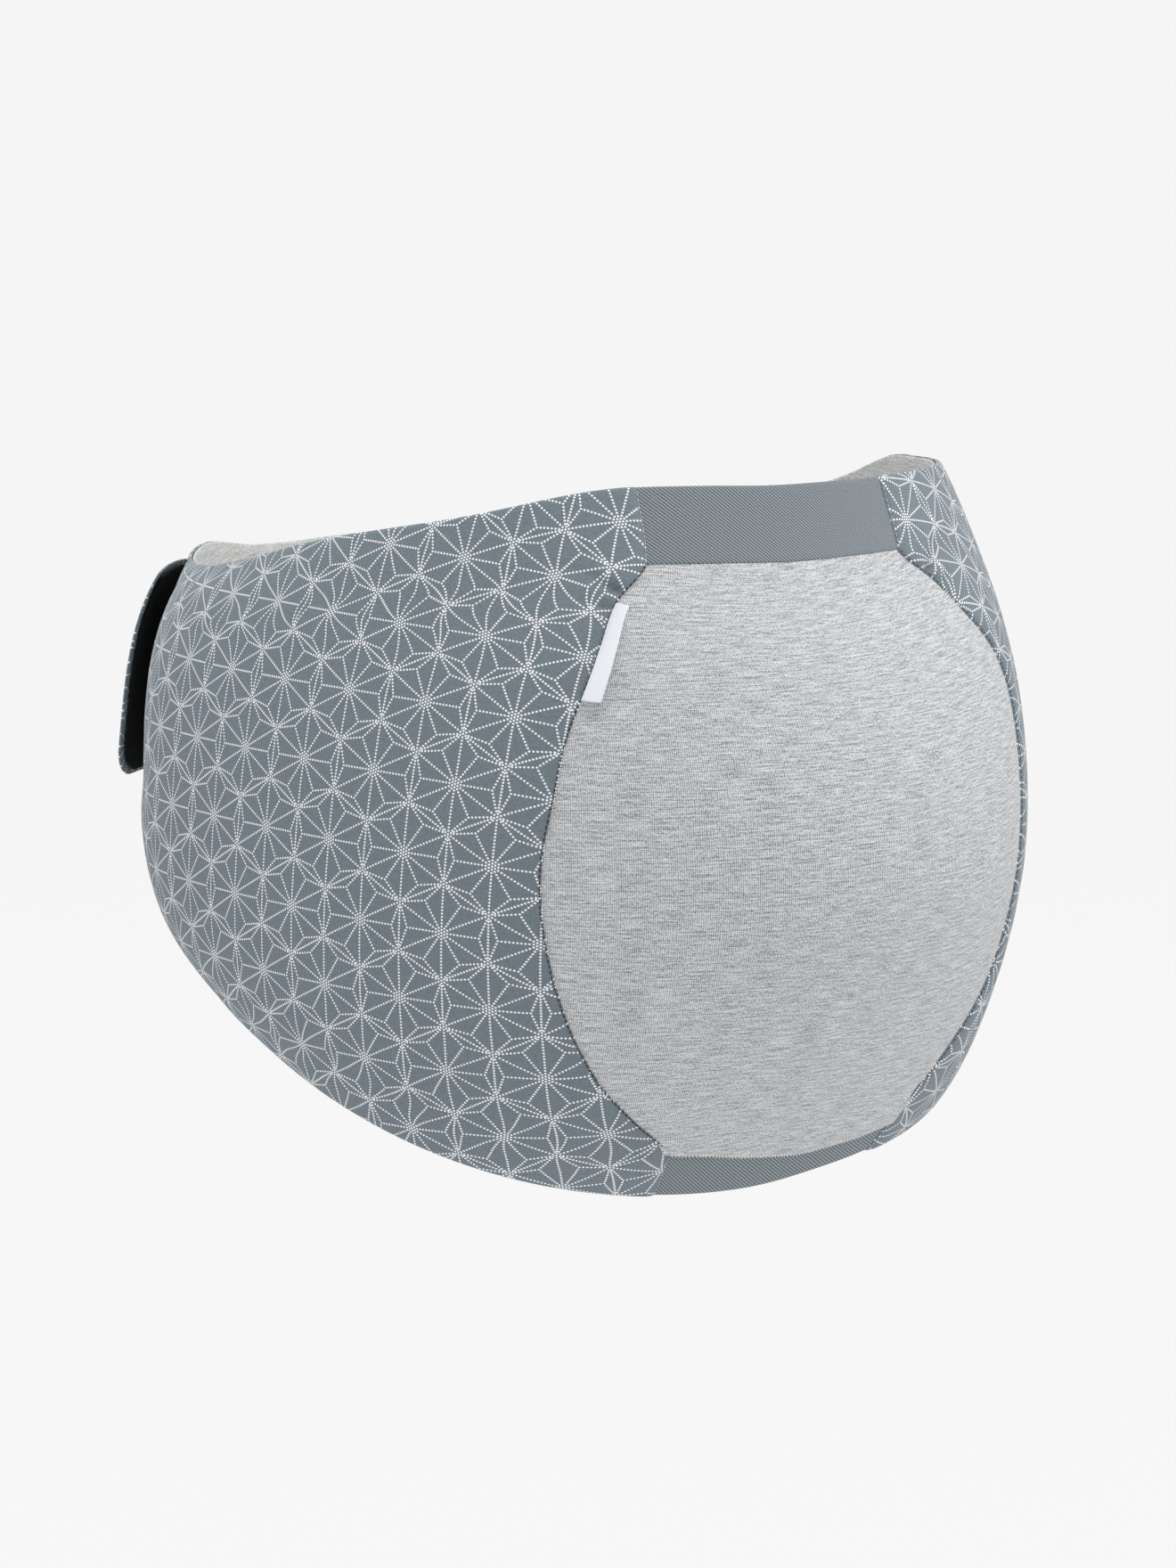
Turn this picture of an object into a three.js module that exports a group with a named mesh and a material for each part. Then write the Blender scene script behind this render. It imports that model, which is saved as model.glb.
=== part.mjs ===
// Maternity sleep belt in its worn form: a stretch belly panel between two elastic bands,
// two padded printed wings with a soft lining, and a hook tab that closes them at the back.
// Millimetres, +Z up. The wearer faces -Y, their left side is +X, and the origin is on the torso's axis.
import * as THREE from "three";

// Thickness of each layer of cloth
const JERSEY_THICK = 1.4;
const BAND_THICK = 1.6;
const LINING_THICK = 1.2;
const COVER_THICK = 1.6;
const TAB_THICK = 1.2;
const HOOK_THICK = 1.4;
const LABEL_THICK = 0.8;

// Clearance between pieces that are sewn together, and under the tab
const GAP = 0.4;
const TAB_GAP = 0.7;

// Where each wing ends at the back, in degrees from the front centre
const WING_END = 177;

// Degrees over which a wing's padding grows from its front seam and from its back end
const SEAM_TAPER = 9;
const END_TAPER = 9;

// Powers that keep the padding even over the height, and thin it towards the rim and the hem
const PAD_EVEN = 3;
const PAD_THIN = 0.65;

// Where the elastic bands meet the belly panel, as shares of the height from hem to rim
const LOWER_BAND_TOP = 0.07;
const UPPER_BAND_BOTTOM = 0.898;

// The torso inside the belt: half its width, and its depth in front of and behind the axis
const BODY = [
  { z: -165, half: 150, front: 116, back: 141 },
  { z: -125, half: 163, front: 152, back: 146 },
  { z: -80, half: 170, front: 180, back: 148 },
  { z: -30, half: 174, front: 200, back: 149 },
  { z: 20, half: 174, front: 198, back: 149 },
  { z: 65, half: 171, front: 178, back: 151 },
  { z: 105, half: 165, front: 147, back: 153 },
  { z: 150, half: 152, front: 124, back: 151 },
];

// Heights of the rim and the hem by angle, from the back over the right side, the front and the left side
const EDGES = [
  { angle: -180, rim: 88.5, hem: -18 },
  { angle: -155, rim: 89.5, hem: -29 },
  { angle: -137, rim: 96.5, hem: -42 },
  { angle: -118, rim: 96, hem: -55.5 },
  { angle: -100, rim: 99.5, hem: -72.5 },
  { angle: -88, rim: 106.5, hem: -89.4 },
  { angle: -75, rim: 115.5, hem: -108.5 },
  { angle: -50, rim: 127.5, hem: -136 },
  { angle: -25, rim: 138.5, hem: -151.5 },
  { angle: -12, rim: 138.2, hem: -155.2 },
  { angle: 0, rim: 136.5, hem: -155.5 },
  { angle: 12, rim: 135.6, hem: -151.9 },
  { angle: 25, rim: 134.5, hem: -148 },
  { angle: 50, rim: 132, hem: -135 },
  { angle: 75, rim: 128.5, hem: -108.5 },
  { angle: 88, rim: 125.5, hem: -89.4 },
  { angle: 100, rim: 114, hem: -72.5 },
  { angle: 118, rim: 99, hem: -55.5 },
  { angle: 137, rim: 94, hem: -42 },
  { angle: 155, rim: 90, hem: -29 },
  { angle: 180, rim: 88.5, hem: -18 },
];

// Depth of padding by angle from the front
const PADDING = [
  { angle: 0, pad: 0 },
  { angle: 25, pad: 3 },
  { angle: 50, pad: 4 },
  { angle: 75, pad: 14.5 },
  { angle: 88, pad: 20.6 },
  { angle: 100, pad: 23.5 },
  { angle: 118, pad: 17 },
  { angle: 137, pad: 12.5 },
  { angle: 155, pad: 7.5 },
  { angle: 180, pad: 4.5 },
];

// The curved seams between the front and the wings: their angles by share of the height
const SEAMS = [
  { share: 0, right: 18.5, left: 22.5 },
  { share: 0.055, right: 19.3, left: 23 },
  { share: LOWER_BAND_TOP, right: 19.5, left: 23.2 },
  { share: 0.12, right: 26.5, left: 27.5 },
  { share: 0.17, right: 32.6, left: 33 },
  { share: 0.22, right: 36.5, left: 39.5 },
  { share: 0.3, right: 40.7, left: 45 },
  { share: 0.4, right: 43.6, left: 47 },
  { share: 0.5, right: 44.1, left: 48 },
  { share: 0.6, right: 42, left: 48 },
  { share: 0.68, right: 39.5, left: 45.5 },
  { share: 0.74, right: 36.2, left: 40.5 },
  { share: 0.8, right: 32.2, left: 33.5 },
  { share: 0.85, right: 28.3, left: 28.3 },
  { share: UPPER_BAND_BOTTOM, right: 22.5, left: 22.5 },
  { share: 0.91, right: 22.2, left: 22.8 },
  { share: 1, right: 22, left: 24.3 },
];

// The tab: sewn to the left wing's end, it narrows, crosses 180 degrees and lies on the right wing
const TAB_ROOT = WING_END + 0.2;
const TAB_NARROW = 200;
const TAB_TIP = 238;
const TAB_BOTTOM = 1;
const TAB_BELOW_RIM = 8;
const TAB_CORNER = 14;
const TIP_LIFT_SPAN = 26;
const TIP_LIFT_TOP = 0.5;
const TIP_LIFT_BOTTOM = 7.5;

// The hook patch stays inside the tab's edges
const HOOK_ROOT = 187;
const HOOK_MARGIN = 2;

// The label stands in the right front seam and leans towards the panel
const LABEL_WIDTH = 10;
const LABEL_GAP = 0.8;
const LABEL_LOW = { share: 0.734, lean: 35 };
const LABEL_HIGH = { share: 0.843, lean: 62 };

// Rows of the mesh from hem to rim, closer where the padding rounds off
const ROWS = [
  0, 0.012, 0.035, LOWER_BAND_TOP, 0.12, 0.17, 0.22, 0.3, 0.4, 0.5,
  0.6, 0.68, 0.74, 0.8, 0.85, UPPER_BAND_BOTTOM, 0.94, 0.972, 0.99, 1,
];
const WING_COLUMNS = 18;
const COLUMN_EASE = 0.35;
const FRONT_COLUMNS = 20;
const TAB_COLUMNS = 14;
const TAB_ROWS = [0, 0.03, 0.08, 0.16, 0.3, 0.45, 0.6, 0.74, 0.86, 0.94, 1];
const LABEL_STEPS = 4;

// Small steps in degrees and millimetres from which the torso's directions are found
const TURN_STEP = 0.5;
const RISE_STEP = 2;

// Half the torso's width at its foot, which turns a small length into an angle
const LEAST_HALF = BODY[0].half;

const radians = THREE.MathUtils.degToRad;
const clamp = THREE.MathUtils.clamp;
const mix = THREE.MathUtils.lerp;

// A smooth curve through one column of a table, held at the ends
function look(table, key, column, at) {
  const last = table.length - 1;
  const x = clamp(at, table[0][key], table[last][key]);
  let i = 0;
  while (i < last - 1 && x > table[i + 1][key]) i += 1;
  const step = (k) => table[k + 1][key] - table[k][key];
  const rise = (k) => (table[k + 1][column] - table[k][column]) / step(k);
  const slope = (k) => {
    if (k === 0) return rise(0);
    if (k === last) return rise(last - 1);
    return (rise(k - 1) * step(k) + rise(k) * step(k - 1)) / (step(k - 1) + step(k));
  };
  const h = step(i);
  const t = (x - table[i][key]) / h;
  const start = (1 + 2 * t) * (1 - t) ** 2 * table[i][column] + t * (1 - t) ** 2 * h * slope(i);
  const end = t * t * (3 - 2 * t) * table[i + 1][column] + t * t * (t - 1) * h * slope(i + 1);
  return start + end;
}

// An angle past 180 degrees, brought back to the right side
function signed(angle) {
  return angle > 180 ? angle - 360 : angle;
}

function hemHeight(angle) {
  return look(EDGES, "angle", "hem", signed(angle));
}

function rimHeight(angle) {
  return look(EDGES, "angle", "rim", signed(angle));
}

function seamAngle(share, side) {
  return look(SEAMS, "share", side > 0 ? "left" : "right", share);
}

// A point of the torso: half an ellipse in front and another behind
function torsoPoint(angle, z) {
  const r = radians(angle);
  const depth = look(BODY, "z", Math.cos(r) > 0 ? "front" : "back", z);
  return new THREE.Vector3(look(BODY, "z", "half", z) * Math.sin(r), -depth * Math.cos(r), z);
}

// Unit directions at that point, round the torso and out of it, from the points near it
function torsoFrame(angle, z) {
  const around = torsoPoint(angle + TURN_STEP, z).sub(torsoPoint(angle - TURN_STEP, z)).normalize();
  const rise = torsoPoint(angle, z + RISE_STEP).sub(torsoPoint(angle, z - RISE_STEP));
  const out = new THREE.Vector3().crossVectors(around, rise).normalize();
  return { around, out };
}

function pointAtHeight(angle, z, offset) {
  return torsoPoint(angle, z).addScaledVector(torsoFrame(angle, z).out, offset);
}

function pointAtShare(angle, share, offset) {
  return pointAtHeight(angle, mix(hemHeight(angle), rimHeight(angle), share), offset);
}

// Distance from the torso to a wing's outer face
function wingSurface(angle, share) {
  const away = Math.abs(signed(angle));
  const fromSeam = clamp((away - seamAngle(share, signed(angle))) / SEAM_TAPER, 0, 1);
  const fromEnd = clamp((WING_END - away) / END_TAPER, 0, 1);
  const swell = Math.sin((fromSeam * Math.PI) / 2) * Math.sin((fromEnd * Math.PI) / 2);
  const round = Math.pow(Math.max(0, 1 - Math.abs(1 - 2 * share) ** PAD_EVEN), PAD_THIN);
  const pad = look(PADDING, "angle", "pad", away) * swell * round;
  return LINING_THICK + GAP + COVER_THICK + pad;
}

function evenSteps(low, high, count) {
  return Array.from({ length: count + 1 }, (_, k) => mix(low, high, k / count));
}

// A closed solid between two grids of points with the same columns and rows
function closedSheet(name, material, columns, rows, innerPoint, outerPoint) {
  const positions = [];
  for (const point of [innerPoint, outerPoint]) {
    for (const u of columns) {
      for (const v of rows) positions.push(...point(u, v).toArray());
    }
  }
  const across = columns.length;
  const along = rows.length;
  const inner = (i, j) => i * along + j;
  const outer = (i, j) => across * along + i * along + j;
  const faces = [];
  const quad = (a, b, c, d) => faces.push(a, b, c, a, c, d);
  for (let i = 0; i + 1 < across; i += 1) {
    for (let j = 0; j + 1 < along; j += 1) {
      quad(outer(i, j), outer(i + 1, j), outer(i + 1, j + 1), outer(i, j + 1));
      quad(inner(i, j), inner(i, j + 1), inner(i + 1, j + 1), inner(i + 1, j));
    }
    quad(inner(i, 0), inner(i + 1, 0), outer(i + 1, 0), outer(i, 0));
    quad(outer(i, along - 1), outer(i + 1, along - 1), inner(i + 1, along - 1), inner(i, along - 1));
  }
  for (let j = 0; j + 1 < along; j += 1) {
    quad(inner(0, j), outer(0, j), outer(0, j + 1), inner(0, j + 1));
    quad(outer(across - 1, j), inner(across - 1, j), inner(across - 1, j + 1), outer(across - 1, j + 1));
  }
  const geometry = new THREE.BufferGeometry();
  geometry.setAttribute("position", new THREE.Float32BufferAttribute(positions, 3));
  geometry.setIndex(faces);
  geometry.computeVertexNormals();
  const mesh = new THREE.Mesh(geometry, material);
  mesh.name = name;
  return mesh;
}

// Cloth is rough all over, so the finishes differ in colour alone
function cloth(color, roughness = 0.9) {
  return new THREE.MeshStandardMaterial({ color, roughness, metalness: 0 });
}

// A front piece between two rows, from the right seam to the left one
function frontPiece(name, color, lowShare, highShare, thick) {
  const trim = GAP / (rimHeight(0) - hemHeight(0)) / 2;
  const low = lowShare > 0 ? lowShare + trim : lowShare;
  const high = highShare < 1 ? highShare - trim : highShare;
  const rows = [low, ...ROWS.filter((share) => share > lowShare && share < highShare), high];
  const edgeTrim = THREE.MathUtils.radToDeg(GAP / LEAST_HALF);
  const frontAngle = (u, share) => mix(edgeTrim - seamAngle(share, -1), seamAngle(share, 1) - edgeTrim, u);
  const point = (offset) => (u, share) => pointAtShare(frontAngle(u, share), share, offset);
  return closedSheet(name, cloth(color), evenSteps(0, 1, FRONT_COLUMNS), rows, point(0), point(thick));
}

// Columns of a wing, from its seam to its back end on the given side, closer at both ends
function wingAngle(side, u, share) {
  const eased = u - (COLUMN_EASE * Math.sin(2 * Math.PI * u)) / (2 * Math.PI);
  return side * mix(seamAngle(share, side), WING_END, eased);
}

// Columns run from right to left on both sides, so that faces point out
function wingColumns(side) {
  return side > 0 ? evenSteps(0, 1, WING_COLUMNS) : evenSteps(1, 0, WING_COLUMNS);
}

function lining(name, color, side) {
  const point = (offset) => (u, share) => pointAtShare(wingAngle(side, u, share), share, offset);
  return closedSheet(name, cloth(color), wingColumns(side), ROWS, point(0), point(LINING_THICK));
}

function wing(name, color, side) {
  const inner = (u, share) => pointAtShare(wingAngle(side, u, share), share, LINING_THICK + GAP);
  const outer = (u, share) => {
    const angle = wingAngle(side, u, share);
    return pointAtShare(angle, share, wingSurface(angle, share));
  };
  return closedSheet(name, cloth(color), wingColumns(side), ROWS, inner, outer);
}

// Angle lost at the tab's tip where its lower corner is rounded
function cornerCut(height, radius, angle) {
  const left = Math.max(0, radius - height);
  const cut = radius - Math.sqrt(radius ** 2 - left ** 2);
  return THREE.MathUtils.radToDeg(cut / torsoPoint(angle, TAB_BOTTOM).length());
}

// How far the tab's free end stands off the wing, more at the bottom than at the top
function tipLift(angle, rise) {
  const near = clamp((angle - TAB_TIP + TIP_LIFT_SPAN) / TIP_LIFT_SPAN, 0, 1);
  return near ** 2 * mix(TIP_LIFT_BOTTOM, TIP_LIFT_TOP, rise);
}

// The tab's lower and upper edges, which leave the wing's hem and rim as it narrows
function tabBottom(angle) {
  return mix(hemHeight(angle), TAB_BOTTOM, THREE.MathUtils.smoothstep(angle, TAB_ROOT, TAB_NARROW));
}

function tabTop(angle) {
  return rimHeight(angle) - TAB_BELOW_RIM * THREE.MathUtils.smoothstep(angle, TAB_ROOT, TAB_NARROW);
}

// A layer of the closure: margin is its distance inside the tab's edges, offset its height on the wing
function closureLayer(name, color, root, margin, offset, thick) {
  const point = (extra) => (u, v) => {
    const tallest = tabTop(TAB_TIP) - TAB_BOTTOM - 2 * margin;
    const marginAngle = THREE.MathUtils.radToDeg(margin / LEAST_HALF);
    const tip = TAB_TIP - marginAngle - cornerCut(v * tallest, TAB_CORNER - margin, TAB_TIP);
    const angle = mix(root, tip, u);
    const z = mix(tabBottom(angle) + margin, tabTop(angle) - margin, v);
    const share = (z - hemHeight(angle)) / (rimHeight(angle) - hemHeight(angle));
    const rise = (z - tabBottom(angle)) / (tabTop(angle) - tabBottom(angle));
    const under = wingSurface(angle, share) + tipLift(angle, rise) + offset(angle);
    return pointAtHeight(angle, z, under + extra);
  };
  return closedSheet(name, cloth(color), evenSteps(0, 1, TAB_COLUMNS), TAB_ROWS, point(0), point(thick));
}

// The tab starts level with the left wing's inner face and climbs over the right wing and the hook patch
function tabOffset(angle) {
  const onWing = THREE.MathUtils.smoothstep(angle, TAB_ROOT, 360 - WING_END);
  const onHooks = THREE.MathUtils.smoothstep(angle, TAB_ROOT, HOOK_ROOT);
  return mix(-COVER_THICK, TAB_GAP, onWing) + onHooks * (HOOK_THICK + TAB_GAP);
}

function sideLabel(name, color) {
  const point = (face) => (u, v) => {
    const share = mix(LABEL_LOW.share, LABEL_HIGH.share, v);
    const lean = radians(mix(LABEL_LOW.lean, LABEL_HIGH.lean, v));
    const angle = THREE.MathUtils.radToDeg((LABEL_GAP + LABEL_THICK) / LEAST_HALF) - seamAngle(share, -1);
    const z = mix(hemHeight(angle), rimHeight(angle), share);
    const { around, out } = torsoFrame(angle, z);
    const ahead = new THREE.Vector3(out.x, out.y, 0).normalize();
    const base = pointAtHeight(angle, z, JERSEY_THICK + GAP + LABEL_THICK / 2);
    base.addScaledVector(around, u * LABEL_WIDTH * Math.cos(lean));
    base.addScaledVector(ahead, u * LABEL_WIDTH * Math.sin(lean));
    base.addScaledVector(ahead, (face * Math.cos(lean) * LABEL_THICK) / 2);
    return base.addScaledVector(around, (-face * Math.sin(lean) * LABEL_THICK) / 2);
  };
  const steps = evenSteps(0, 1, LABEL_STEPS);
  return closedSheet(name, cloth(color, 0.7), steps, steps, point(-1), point(1));
}

const JERSEY_GREY = "#c3c5c6";
const ELASTIC_GREY = "#7a858b";
const PRINT_SLATE = "#6f7a81";
const LINING_GREY = "#c9c9c8";
const HOOK_BLACK = "#141517";
const LABEL_WHITE = "#eceef3";

const belt = new THREE.Group();
belt.add(
  frontPiece("belly_panel", JERSEY_GREY, LOWER_BAND_TOP, UPPER_BAND_BOTTOM, JERSEY_THICK),
  frontPiece("upper_band", ELASTIC_GREY, UPPER_BAND_BOTTOM, 1, BAND_THICK),
  frontPiece("lower_band", ELASTIC_GREY, 0, LOWER_BAND_TOP, BAND_THICK),
  wing("right_wing", PRINT_SLATE, -1),
  wing("left_wing", PRINT_SLATE, 1),
  lining("right_lining", LINING_GREY, -1),
  lining("left_lining", LINING_GREY, 1),
  closureLayer("closure_tab", PRINT_SLATE, TAB_ROOT, 0, tabOffset, TAB_THICK),
  closureLayer("hook_patch", HOOK_BLACK, HOOK_ROOT, HOOK_MARGIN, () => TAB_GAP, HOOK_THICK),
  sideLabel("side_label", LABEL_WHITE),
);

export default belt;
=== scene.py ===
# %% [markdown]
# # A maternity sleep belt, dressed in its cloth
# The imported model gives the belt's pieces as plain solids in one frame: +Z is up, the wearer faces -Y, and
# the origin is on the torso's axis. This lesson loads that frame and puts each piece's real cloth in its
# place: a stretch jersey front between two elastic bands, two padded wings with a hemp-leaf print, a soft
# lining, a hook tab at the back and a small label in a seam.

# %% Load the frame
import math

import bpy
import numpy as np
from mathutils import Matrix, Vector


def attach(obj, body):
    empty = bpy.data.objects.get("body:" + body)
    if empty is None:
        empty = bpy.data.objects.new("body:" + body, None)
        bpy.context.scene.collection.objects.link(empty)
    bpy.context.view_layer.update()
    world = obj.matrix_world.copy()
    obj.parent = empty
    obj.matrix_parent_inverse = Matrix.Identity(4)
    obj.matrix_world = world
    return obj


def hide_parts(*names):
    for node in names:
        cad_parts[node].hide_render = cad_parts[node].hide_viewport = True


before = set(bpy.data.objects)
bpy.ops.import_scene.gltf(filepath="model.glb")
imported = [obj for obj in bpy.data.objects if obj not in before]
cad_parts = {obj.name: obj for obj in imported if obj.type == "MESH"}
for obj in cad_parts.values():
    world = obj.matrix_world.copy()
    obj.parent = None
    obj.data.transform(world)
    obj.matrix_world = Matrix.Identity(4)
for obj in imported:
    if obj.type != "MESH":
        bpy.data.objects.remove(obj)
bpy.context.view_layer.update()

# %% [markdown]
# ## The camera
# The view is from the wearer's right front, a little above the belt, through a long lens, so the belt hardly
# narrows with distance. A lens is easiest to work out from pixels: at the camera's distance one pixel of a
# 1320 x 1760 picture covers 0.38 mm. Blender's sensor width belongs to the picture's longer side.

# %% Camera
PICTURE_SIZE = (1320, 1760)
AZIMUTH, ELEVATION = -35.5, 9.5
CAMERA_DISTANCE = 2.8
METRES_PER_PIXEL = 0.00038
AIM_RIGHT, AIM_UP = 0.0032, -0.0042
SENSOR_MM = 36


def towards(azimuth, elevation):
    """Unit vector to a place round the belt: degrees from the front to the wearer's left, and upwards."""
    a, e = math.radians(azimuth), math.radians(elevation)
    return Vector((math.sin(a) * math.cos(e), -math.cos(a) * math.cos(e), math.sin(e)))


def add_object(name, data):
    holder = bpy.data.objects.new(name, data)
    bpy.context.scene.collection.objects.link(holder)
    return holder


def aimed(name, data, place, back):
    """A camera or a lamp at a place, turned to look against the direction back."""
    holder = add_object(name, data)
    holder.location = place
    holder.rotation_mode = "QUATERNION"
    holder.rotation_quaternion = (-back).to_track_quat("-Z", "Y")
    return holder


back = towards(AZIMUTH, ELEVATION)
right = towards(AZIMUTH + 90, 0)
upright = back.cross(right)
lens = bpy.data.cameras.new("camera")
lens.sensor_width = SENSOR_MM
lens.lens = SENSOR_MM * CAMERA_DISTANCE / METRES_PER_PIXEL / max(PICTURE_SIZE)
eye = right * AIM_RIGHT + upright * AIM_UP + back * CAMERA_DISTANCE
bpy.context.scene.camera = aimed("camera", lens, eye, back)
print("lens, mm:", round(lens.lens, 2))

# %% [markdown]
# ## The studio
# The belt stands in its worn form in front of a plain pale ground. A shallow dish, flat in the middle and
# curving up all round, serves as floor and backdrop from every side. It lies well below the belt, so no hard
# shadow shows. A dish is a surface of revolution: one profile of radius and height, turned about Z.

# %% Floor and backdrop
FLOOR_Z = -0.7
DISH_MIDDLE, FLOOR_RADIUS, DISH_RADIUS, DISH_RISE = 0.02, 3.2, 7.0, 3.6
DISH_TURNS, DISH_RINGS = 72, 40


def new_mesh(name, points, faces):
    """Puts arrays of points and faces into a mesh object at the origin, with smooth shading."""
    mesh = bpy.data.meshes.new(name)
    mesh.from_pydata(points.tolist(), [], faces if isinstance(faces, list) else faces.tolist())
    mesh.polygons.foreach_set("use_smooth", np.ones(len(mesh.polygons), bool))
    mesh.update()
    return add_object(name, mesh)


def dish():
    """Radius grows from a small middle face to the dish's edge; height is zero on the floor and then rises
    as one minus the cosine of a quarter turn; both are turned about Z."""
    radius = np.linspace(DISH_MIDDLE, DISH_RADIUS, DISH_RINGS)[:, None]
    turn = np.linspace(0, 2 * np.pi, DISH_TURNS, endpoint=False)[None, :]
    past = np.clip((radius - FLOOR_RADIUS) / (DISH_RADIUS - FLOOR_RADIUS), 0, 1)
    rise = DISH_RISE * (1 - np.cos(past * np.pi / 2)) + 0 * turn
    points = np.stack([radius * np.cos(turn), radius * np.sin(turn), FLOOR_Z + rise], -1).reshape(-1, 3)
    index = np.arange(DISH_RINGS * DISH_TURNS).reshape(DISH_RINGS, DISH_TURNS)
    after = np.roll(index, -1, axis=1)
    quads = np.stack([index[:-1], index[1:], after[1:], after[:-1]], -1).reshape(-1, 4)
    return points, quads.tolist() + [index[0].tolist()]


floor = new_mesh("studio_dish", *dish())
print("dish:", len(floor.data.polygons), "faces")

# %% [markdown]
# ## The light
# Product light: an even pale surround fills the shadows, a large soft box overhead makes the belly's upper
# half lighter than its lower half, and boxes at the sides draw the wings' roundness. The ground glows, so
# that it stays one even tone however the boxes fall on it, but it casts less light up at the belt than it
# shows.

# %% Soft boxes and surround
SURROUND = 0.59
SOFT_BOXES = [
    # name, azimuth, elevation, distance, size, watts
    ("top_box", -10, 72, 2.4, 1.6, 25),
    ("right_box", 62, 24, 2.6, 1.4, 25),
    ("left_box", -118, 18, 2.6, 1.4, 14),
    ("back_box", 170, 45, 2.4, 1.4, 9),
    ("low_box", -20, -58, 0.8, 0.6, 1.5),
]
WHITE = (1, 1, 1, 1)
FLOOR_COLOUR, FLOOR_ROUGHNESS, FLOOR_SPECULAR = (0.04, 0.04, 0.04, 1), 0.9, 0.1
SEEN_GLOW, CAST_GLOW = 0.88, 0.66


def soft_box(name, azimuth, elevation, distance, size, watts):
    """A square area light on a sphere round the belt, turned to face its middle."""
    lamp = bpy.data.lights.new(name, "AREA")
    lamp.energy, lamp.size = watts, size
    away = towards(azimuth, elevation)
    aimed(name, lamp, away * distance, away)


def give(node, values):
    """Sets a node's inputs by name."""
    for label, value in values.items():
        node.inputs[label].default_value = value


def new_material(name):
    """A material with nodes; gives it with its Principled shader."""
    material = bpy.data.materials.new(name)
    material.use_nodes = True
    return material, material.node_tree.nodes["Principled BSDF"]


for box in SOFT_BOXES:
    soft_box(*box)
world = bpy.data.worlds.new("surround")
world.use_nodes = True
give(world.node_tree.nodes["Background"], {"Color": WHITE, "Strength": SURROUND})
bpy.context.scene.world = world
bpy.context.scene.view_settings.view_transform = "Standard"

paper, paper_shader = new_material("pale_paper")
give(paper_shader, {"Base Color": FLOOR_COLOUR, "Roughness": FLOOR_ROUGHNESS,
                    "Specular IOR Level": FLOOR_SPECULAR, "Emission Color": WHITE})
path = paper.node_tree.nodes.new("ShaderNodeLightPath")
glow = paper.node_tree.nodes.new("ShaderNodeMapRange")
give(glow, {"To Min": CAST_GLOW, "To Max": SEEN_GLOW})
paper.node_tree.links.new(path.outputs["Is Camera Ray"], glow.inputs["Value"])
paper.node_tree.links.new(glow.outputs["Result"], paper_shader.inputs["Emission Strength"])
floor.data.materials.append(paper)
print("lights:", len(SOFT_BOXES))

# %% [markdown]
# ## The form inside the belt
# A worn belt has the shape of what is in it. The torso is described by a few stations up its height: half
# its width, and its depth in front of and behind the axis. Smooth curves join the stations, so a point
# anywhere on the torso is a short formula of an angle round it and a height. All later pieces are cloth laid
# on this form.

# %% Smooth curves through a table
MM = 0.001


def smooth_curve(stations, values, at):
    """Cubic curve through a table. The slope at a station is the mean of the slopes before and after it,
    each weighted by the length of the other step; the ends take the slope of their own step."""
    stations, values = np.asarray(stations, float), np.asarray(values, float)
    step = np.diff(stations)
    rise = np.diff(values) / step
    inner = (rise[:-1] * step[1:] + rise[1:] * step[:-1]) / (step[:-1] + step[1:])
    slope = np.concatenate([rise[:1], inner, rise[-1:]])
    at = np.clip(at, stations[0], stations[-1])
    i = np.clip(np.searchsorted(stations, at) - 1, 0, len(step) - 1)
    h = step[i]
    t = (at - stations[i]) / h
    start = (1 + 2 * t) * (1 - t) ** 2 * values[i] + t * (1 - t) ** 2 * h * slope[i]
    return start + t * t * (3 - 2 * t) * values[i + 1] + t * t * (t - 1) * h * slope[i + 1]


def ramp(at, low, high):
    """Smooth step: 0 below low, 1 above high, and 3tt - 2ttt between them."""
    t = np.clip((at - low) / (high - low), 0, 1)
    return t * t * (3 - 2 * t)


# %% Torso
TORSO_Z = np.array([-165, -125, -80, -30, 20, 65, 105, 150]) * MM
TORSO_HALF = np.array([150, 163, 170, 174, 174, 171, 165, 152]) * MM
TORSO_FRONT = np.array([116, 152, 180, 200, 198, 178, 147, 124]) * MM
TORSO_BACK = np.array([141, 146, 148, 149, 149, 151, 153, 151]) * MM
TURN_STEP, RISE_STEP = 0.5, 2 * MM
LEVEL = np.array([1, 1, 0])


def unit(vectors):
    return vectors / np.linalg.norm(vectors, axis=-1, keepdims=True)


def torso(angle, z):
    """Half an ellipse in front and another behind: x is half the width times the sine of the angle
    from the front, and y is minus the depth times its cosine."""
    angle, z = np.broadcast_arrays(angle, z)
    turn = np.radians(angle)
    front, behind = smooth_curve(TORSO_Z, TORSO_FRONT, z), smooth_curve(TORSO_Z, TORSO_BACK, z)
    depth = np.where(np.cos(turn) > 0, front, behind)
    return np.stack([smooth_curve(TORSO_Z, TORSO_HALF, z) * np.sin(turn), -depth * np.cos(turn), z], -1)


def directions(angle, z):
    """Unit vectors round the torso and out of it, from the differences between nearby points."""
    around = unit(torso(angle + TURN_STEP, z) - torso(angle - TURN_STEP, z))
    rise = torso(angle, z + RISE_STEP) - torso(angle, z - RISE_STEP)
    return around, unit(np.cross(around, rise))


def on_torso(angle, z, offset):
    """The torso's point at that angle and height, moved out of it by the offset."""
    return torso(angle, z) + np.asarray(offset)[..., None] * directions(angle, z)[1]


waist = on_torso(np.linspace(-180, 180, 361), 0.0, 0.0)
print("girth at the waist, m:", round(float(np.linalg.norm(np.diff(waist, axis=0), axis=1).sum()), 3))

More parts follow.
